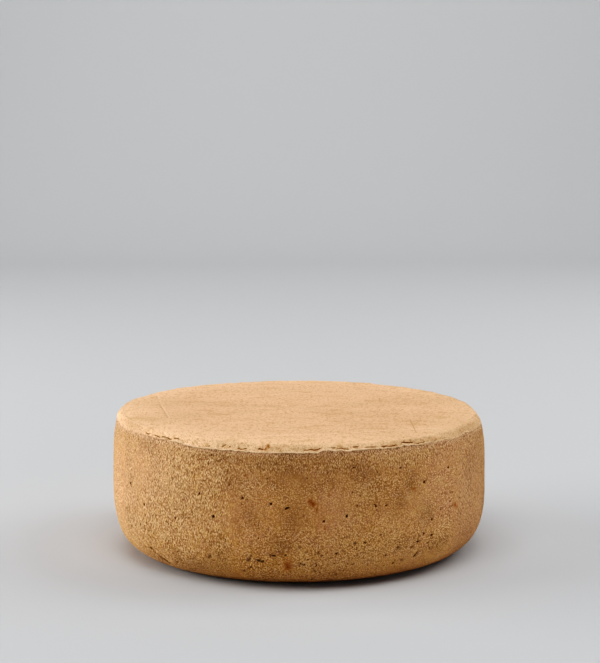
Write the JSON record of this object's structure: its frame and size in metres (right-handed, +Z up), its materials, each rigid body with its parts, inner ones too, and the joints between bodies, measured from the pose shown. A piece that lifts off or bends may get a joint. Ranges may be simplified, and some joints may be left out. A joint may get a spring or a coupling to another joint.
{
  "type": "cheese wheel",
  "caption": "Whole round wheel of hard cheese with a flat foot, a soft lower corner, a bulging side, a thin raised rim and a pitted natural rind.",
  "frame": {"origin": "middle of the flat underside, on the surface that the wheel stands on", "axes": "+Z up through the middle of the wheel; -X is the side where the wheel is slightly thicker, and -Y faces the viewer"},
  "size_m": [0.2508, 0.2508, 0.0953],
  "materials": {
    "rind": "matte natural rind, tan with pinkish and olive mottling, fine cork-like grain"
  },
  "bodies": {
    "root": {"wheel": "rind"}
  },
  "joints": []
}
